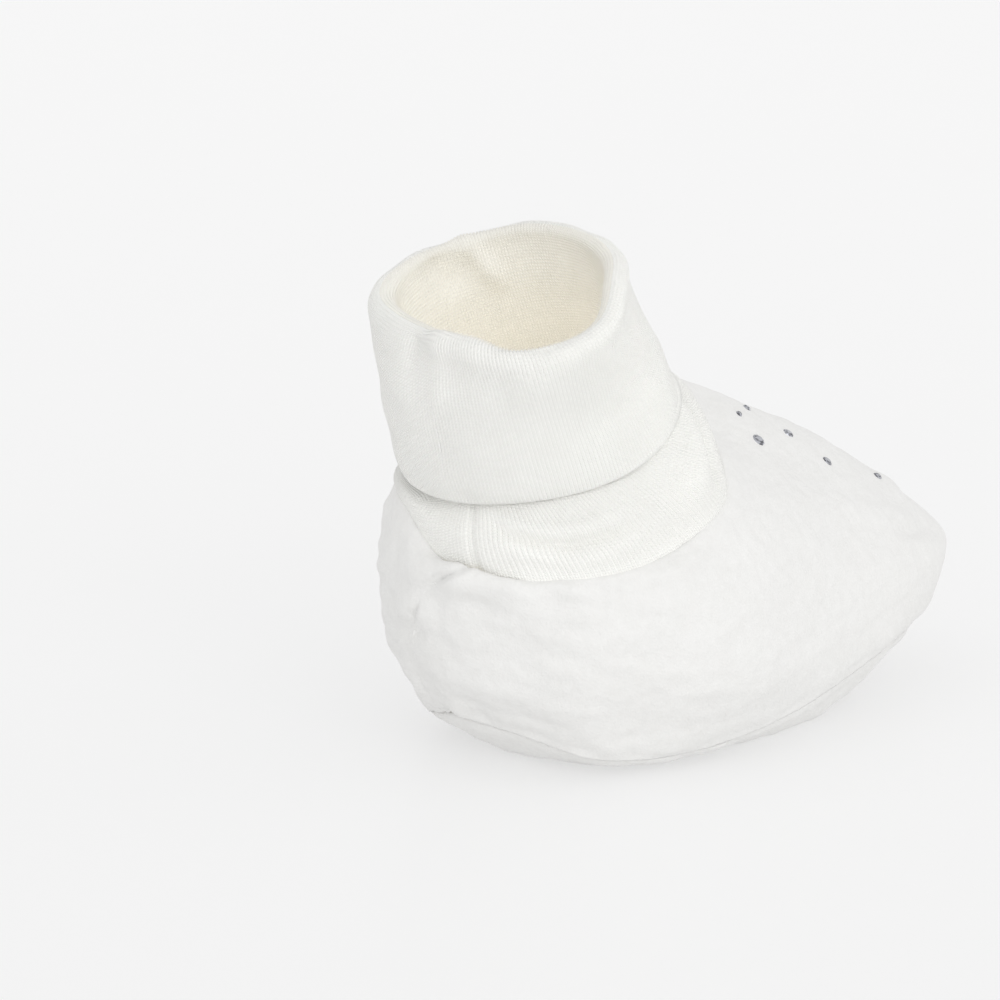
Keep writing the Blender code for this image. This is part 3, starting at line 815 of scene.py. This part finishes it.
def cuff_section():
    """The cuff's section once round from the hem, and where the mouth's side starts and ends."""
    roll = (RIM_RADIUS - MOUTH_RADIUS) / 2
    crest = (MOUTH_RADIUS + roll, CUFF_HEIGHT - roll)
    wall = spline(np.array([(HEM_RADIUS, HEM_ROUND), (HEM_RADIUS, 4), (HEM_RADIUS - 0.2, 8),
                            (RIM_RADIUS + 0.4, 16), (RIM_RADIUS, crest[1])]),
                  np.linspace(0, 4, 52), closed=False)
    outside = [tuple(p) for p in wall]
    rim = arc(crest, roll, 0, 180, 20)[1:]
    lip = INNER_WALL / 2
    mouth = straight((MOUTH_RADIUS, crest[1]), (MOUTH_RADIUS, INNER_WALL_END + lip), 26)[1:]
    turn = arc((MOUTH_RADIUS + lip, INNER_WALL_END + lip), lip, 180, 360, 5)[1:]
    ceiling = TUBE_TOP + GAP
    channel_in = MOUTH_RADIUS + INNER_WALL
    channel_out = TUBE_RADIUS + GAP
    hem_inside = HEM_RADIUS - 2 * HEM_ROUND
    channel = straight(turn[-1], (channel_in, ceiling), 8)[1:]
    channel = channel + straight((channel_in, ceiling), (channel_out, ceiling), 3)[1:]
    channel += straight((channel_out, ceiling), (channel_out, 14), 4)[1:]
    channel += straight((channel_out, 14), (hem_inside, HEM_ROUND), 6)[1:]
    hem = arc((HEM_RADIUS - HEM_ROUND, HEM_ROUND), HEM_ROUND, 180, 360, 7)[1:-1]
    points = outside + rim + mouth + turn + channel + hem
    mouth_rows = (len(outside) + len(rim) // 2, len(outside) + len(rim) + len(mouth) + len(turn))
    visible = len(outside) + len(rim) + len(mouth)
    return np.array(points), mouth_rows, visible


LIT_COURSES = 34            # from the crest down to where the painted glow, standing in for light through the cloth, is full


def make_cuff(rib):
    section, mouth_rows, visible = cuff_section()
    columns = WALES * WALE_VERTS
    angle = np.arange(columns) / columns * 2 * math.pi
    rings = []
    sag = hem_sag(angle)
    for radius, height in section:
        moved, level = rim_place(radius, angle, height)
        if radius > TUBE_RADIUS:
            hanging = sag * smooth_step(14 - height, 0, 13)
            moved = moved + 0.3 * hanging
            level = level - hanging
        rings.append(leaning(moved, angle, level))
    rings = np.array(rings)
    closed = np.concatenate([rings[-1:], rings, rings[:1]])
    normals = grid_normals(closed)[1:-1]
    heights = section[:, 1][:, None]
    showing = (np.arange(len(section)) < visible + 1)[:, None]
    outside = (np.arange(len(section)) < mouth_rows[0])[:, None]
    lift = WALE_RELIEF * wale_ridges(columns)[None, :] * showing
    dents = 0.35 * relief(rings / 13, 31) * outside * smooth_step(heights, 0, 3)
    lift = lift + dents * smooth_step(24 - heights, 0, 4)
    lift += 0.12 * relief(rings / 4, 32) * outside
    lift += folded(rings, fold_paths(CUFF_FOLDS)) * showing
    slimmer = hill((np.degrees(angle) + 135) % 360 - 180, 34)[None, :]
    lift -= 0.8 * slimmer * outside * smooth_step(24 - heights, 0, 6)
    shaped = rings + normals * lift[..., None]
    reach = climbs(rings).mean(axis=1) / COURSE
    scale = np.append(reach, reach[-1] + 1)
    lit = (reach[mouth_rows[0]], reach[mouth_rows[0]] + LIT_COURSES)
    # the cuff's inside: a darker, warmer copy of the rib knit as painted shade and painted light through the
    # cloth, with the painted glow
    rib_inside = knit_material("rib_knit_inside", SHADED_KNIT_INSIDE_DARK, SHADED_KNIT_INSIDE_LIGHT, 0.14,
                               glow=PAINTED_INSIDE_GLOW, lit_courses=lit)
    obj = rings_mesh("rib_cuff", shaped, [rib, rib_inside], wrap=True, uv=(WALES, scale),
                     inside_rows=mouth_rows)
    keep(obj, "cuff", "rib_knit", "turned_cuff")
    return rings


# --- threads and stones -------------------------------------------------------------------------

STITCH_LENGTH = 1.9
STITCH_PITCH = 2.4
STITCH_RADIUS = 0.17
STITCH_SIDES = 8


def stitch(start, stop, radius):
    """One stitch: a slim capsule that dips in at both ends."""
    run = stop - start
    length = np.linalg.norm(run)
    axis = run / length
    side = np.cross(axis, (0.3, 0.2, 0.93))
    side /= np.linalg.norm(side)
    other = np.cross(axis, side)
    points = []
    shares = np.linspace(0, 1, 7)
    for share in shares:
        width = radius * math.sqrt(max(1 - abs(2 * share - 1) ** 3, 0.04))
        for k in range(STITCH_SIDES):
            turn = 2 * math.pi * k / STITCH_SIDES
            points.append(start + run * share + (side * math.cos(turn) + other * math.sin(turn)) * width)
    faces = []
    for ring in range(len(shares) - 1):
        for k in range(STITCH_SIDES):
            a = ring * STITCH_SIDES + k
            b = ring * STITCH_SIDES + (k + 1) % STITCH_SIDES
            faces.append((a, b, b + STITCH_SIDES, a + STITCH_SIDES))
    last = (len(shares) - 1) * STITCH_SIDES
    faces.append(tuple(range(STITCH_SIDES))[::-1])
    faces.append(tuple(last + k for k in range(STITCH_SIDES)))
    return points, faces


def stitched(name, path, closed, mat, body, *nodes, radius=STITCH_RADIUS):
    """A line of stitches along a path."""
    path = np.asarray(path)
    if closed:
        path = np.concatenate([path, path[:1]])
    reach = np.concatenate([[0], np.cumsum(np.linalg.norm(np.diff(path, axis=0), axis=1))])
    count = max(int(reach[-1] / STITCH_PITCH), 1)
    pieces = []
    for k in range(count):
        begin = (k + 0.5) * reach[-1] / count - STITCH_LENGTH / 2
        ends = [np.array([np.interp(place, reach, path[:, axis]) for axis in range(3)])
                for place in (begin, begin + STITCH_LENGTH)]
        pieces.append(stitch(*ends, radius))
    obj = joined(name, pieces, [mat])
    obj.data.shade_smooth()
    return keep(obj, body, "thread", *nodes)


def make_threads(foot, rib, cuff, mat):
    normals = grid_normals(foot)
    inside = foot[4] - normals[4] * (VELOUR + GAP)
    stitched("stitches_sole_seam", inside[::4], True, mat, "foot", "sole_seam_thread")
    seam = back_seam(60)
    nearest = [np.argmin(np.linalg.norm(foot - p, axis=-1)) for p in seam[2:-2]]
    on_seam = (foot - normals * 0.13).reshape(-1, 3)[nearest]
    stitched("stitches_velour_back", on_seam, False, mat, "foot", "velour_back_seam_thread", radius=0.14)
    ring = rib[1]
    inward = (ring.mean(axis=0) - ring) * np.array([1, 1, 0])
    inward /= np.linalg.norm(inward, axis=1, keepdims=True)
    stitched("stitches_ankle_seam", (ring + inward * 1.7)[::6], True, mat, "foot", "ankle_seam_thread")
    column = round(RIB_BACK_STATION / STATIONS * rib.shape[1])
    rib_normals = grid_normals(rib)
    low = (rib - rib_normals * 0.45)[4:26, column]
    stitched("stitches_rib_back", low, False, mat, "foot", "rib_back_seam_thread", radius=0.12)
    column = round(CUFF_SEAM_ANGLE / 360 * cuff.shape[1])
    cuff_normals = grid_normals(cuff)
    up = (cuff - cuff_normals * 0.02)[1:46, column]
    stitched("stitches_cuff_seam", up, False, mat, "cuff", "cuff_seam_thread", radius=0.12)


STONE_RADII = (0.6, 0.75, 1.15, 1.0, 0.95, 0.8)
STONE_SIDES = 8
STONE_SUNK = 0.12           # the pile stands round each stone


def stone_shape(radius):
    """A flat-backed stone: girdle, eight main facets with eight between them, and a table."""
    points = []
    levels = ((0.96, -0.35, 0.0), (1.0, 0.1, 0.0), (0.78, 0.32, 0.5), (0.5, 0.45, 0.0))
    for scale, height, shift in levels:
        for k in range(STONE_SIDES):
            turn = 2 * math.pi * (k + shift) / STONE_SIDES
            across = radius * scale
            points.append(np.array([across * math.cos(turn), across * math.sin(turn), height]))
    n = STONE_SIDES
    faces = [tuple(range(n))[::-1], tuple(3 * n + k for k in range(n))]
    for k in range(n):
        j = (k + 1) % n
        faces.append((k, j, n + j, n + k))
        faces.append((n + k, n + j, 2 * n + k))
        faces.append((n + j, 2 * n + j, 2 * n + k))
        faces.append((2 * n + k, 2 * n + j, 3 * n + j))
        faces.append((2 * n + k, 3 * n + j, 3 * n + k))
    return points, faces


def make_stones(foot, mat):
    """One stone over each of the frame's, set down into the velour's own surface."""
    normals = grid_normals(foot)
    flat = foot.reshape(-1, 3)
    names = sorted(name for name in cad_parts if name.startswith("toe_crystal"))
    for number, name in enumerate(names):
        points, faces = stone_shape(STONE_RADII[number % len(STONE_RADII)])
        low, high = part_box(name)
        middle = np.array((low + high) / 2) / MM
        nearest = int(np.argmin(np.linalg.norm(flat - middle, axis=1)))
        normal = Vector(normals.reshape(-1, 3)[nearest])
        turn = normal.to_track_quat("Z", "Y").to_matrix() @ Matrix.Rotation(0.7 * number, 3, "Z")
        seat = flat[nearest] - np.array(normal) * STONE_SUNK
        shaped = [np.array(turn @ Vector(p)) + seat for p in points]
        stone = joined(name.replace("toe_crystal", "stone"), [(shaped, faces)], [mat])
        keep(stone, "foot", "crystal", name)


# --- floor, light and camera --------------------------------------------------------------------

BRIGHT_SIDE = (0.78, -0.44, -0.45)  # where the surroundings are brightest
FLOOR_GLOW = 0.42           # the floor is a lit white table


def make_stage():
    mesh = bpy.data.meshes.new("floor")
    half = 30.0
    corners = [(-half, -half, 0), (half, -half, 0), (half, half, 0), (-half, half, 0)]
    mesh.from_pydata(corners, [], [(0, 1, 2, 3)])
    floor = bpy.data.objects.new("floor", mesh)
    bpy.context.collection.objects.link(floor)
    mat, tree, shader = new_material("floor", (0.46, 0.46, 0.46), 0.4)
    shader.inputs["Specular IOR Level"].default_value = 0.2
    where = tree.nodes.new("ShaderNodeTexCoord").outputs["Object"]
    grain = noise_value(tree, where, 40, 2)
    tree.links.new(ramp_colour(tree, grain, FLOOR_DARK, FLOOR_LIGHT), shader.inputs["Base Color"])
    shader.inputs["Emission Color"].default_value = (1, 1, 1, 1)
    shader.inputs["Emission Strength"].default_value = FLOOR_GLOW
    mesh.materials.append(mat)

    world = bpy.data.worlds.new("studio")
    world.use_nodes = True
    background = world.node_tree.nodes["Background"]
    tree = world.node_tree
    around = tree.nodes.new("ShaderNodeTexCoord").outputs["Generated"]
    towards = tree.nodes.new("ShaderNodeVectorMath")
    towards.operation = "DOT_PRODUCT"
    tree.links.new(around, towards.inputs[0])
    towards.inputs[1].default_value = BRIGHT_SIDE
    share = calculate(tree, "ADD", calculate(tree, "MULTIPLY", towards.outputs["Value"], 0.5), 0.5)
    around = ramp_colour(tree, share, DIM_SIDE_COLOUR, BRIGHT_SIDE_COLOUR, 0.0, 1.0)
    tree.links.new(around, background.inputs["Color"])
    background.inputs["Strength"].default_value = SURROUND_STRENGTH
    bpy.context.scene.world = world
    for name, direction, strength, spread in (
            ("key", (1.0, -0.42, 0.3), 0.6, 45),):
        light = bpy.data.lights.new(name, "SUN")
        light.energy = strength
        light.angle = math.radians(spread)
        obj = bpy.data.objects.new(name, light)
        obj.rotation_mode = "QUATERNION"
        obj.rotation_quaternion = Vector(direction).to_track_quat("Z", "Y")
        bpy.context.collection.objects.link(obj)


def make_camera():
    az, el = CAMERA_AZIMUTH, CAMERA_ELEVATION
    back = Vector((math.sin(az) * math.cos(el), -math.cos(az) * math.cos(el), math.sin(el)))
    right = Vector((math.cos(az), math.sin(az), 0))
    up = back.cross(right)
    middle = Vector((0, -LENGTH_CENTRE, 0))
    place = (middle + back * CAMERA_DISTANCE) * MM
    aim = (middle + right * CAMERA_AIM[0] + up * CAMERA_AIM[1]) * MM
    camera = bpy.data.cameras.new("camera")
    camera.lens = CAMERA_LENS
    camera.sensor_width = SENSOR
    camera.clip_start = 0.01
    camera.clip_end = 100
    obj = bpy.data.objects.new("camera", camera)
    bpy.context.collection.objects.link(obj)
    towards = (place - aim).normalized()
    obj.rotation_mode = "QUATERNION"
    side = Vector((0, 0, 1)).cross(towards).normalized()
    upright = towards.cross(side)
    obj.rotation_quaternion = Matrix((side, upright, towards)).transposed().to_quaternion()
    obj.location = place
    bpy.context.scene.camera = obj


KNIT_DARK = (0.92, 0.916, 0.883)
KNIT_LIGHT = (0.97, 0.968, 0.939)
# The cuff's inside: a darker, warmer copy of the rib knit's colours, painted shade and painted warm light
# through the cloth
SHADED_KNIT_INSIDE_DARK = (0.89, 0.87, 0.805)
SHADED_KNIT_INSIDE_LIGHT = (0.95, 0.935, 0.88)


def main():
    velour = velour_material()
    rib = knit_material("rib_knit", KNIT_DARK, KNIT_LIGHT, 0.16)
    # the lining jersey carries a painted glow, emission standing in for light through the cloth
    jersey = knit_material("lining_jersey", JERSEY_DARK, JERSEY_LIGHT, 0.1, glow=PAINTED_LINING_GLOW)
    wadding = wadding_material()
    thread = thread_material()
    crystal = crystal_material()

    foot, inner = make_upper(velour)
    make_lining(inner, jersey)
    plain = foot_grid(SOLE_COLUMNS, 8)
    make_sole(plain[0], velour)
    make_insole(plain[0], wadding, jersey)
    ankle = placed(ANKLE_SEAM)
    tube = make_rib(ankle, rib)
    cuff = make_cuff(rib)
    make_threads(foot, tube, cuff, thread)
    make_stones(foot, crystal)
    make_stage()
    make_camera()
    bpy.context.scene.view_settings.view_transform = "Standard"


main()

bpy.context.view_layer.update()
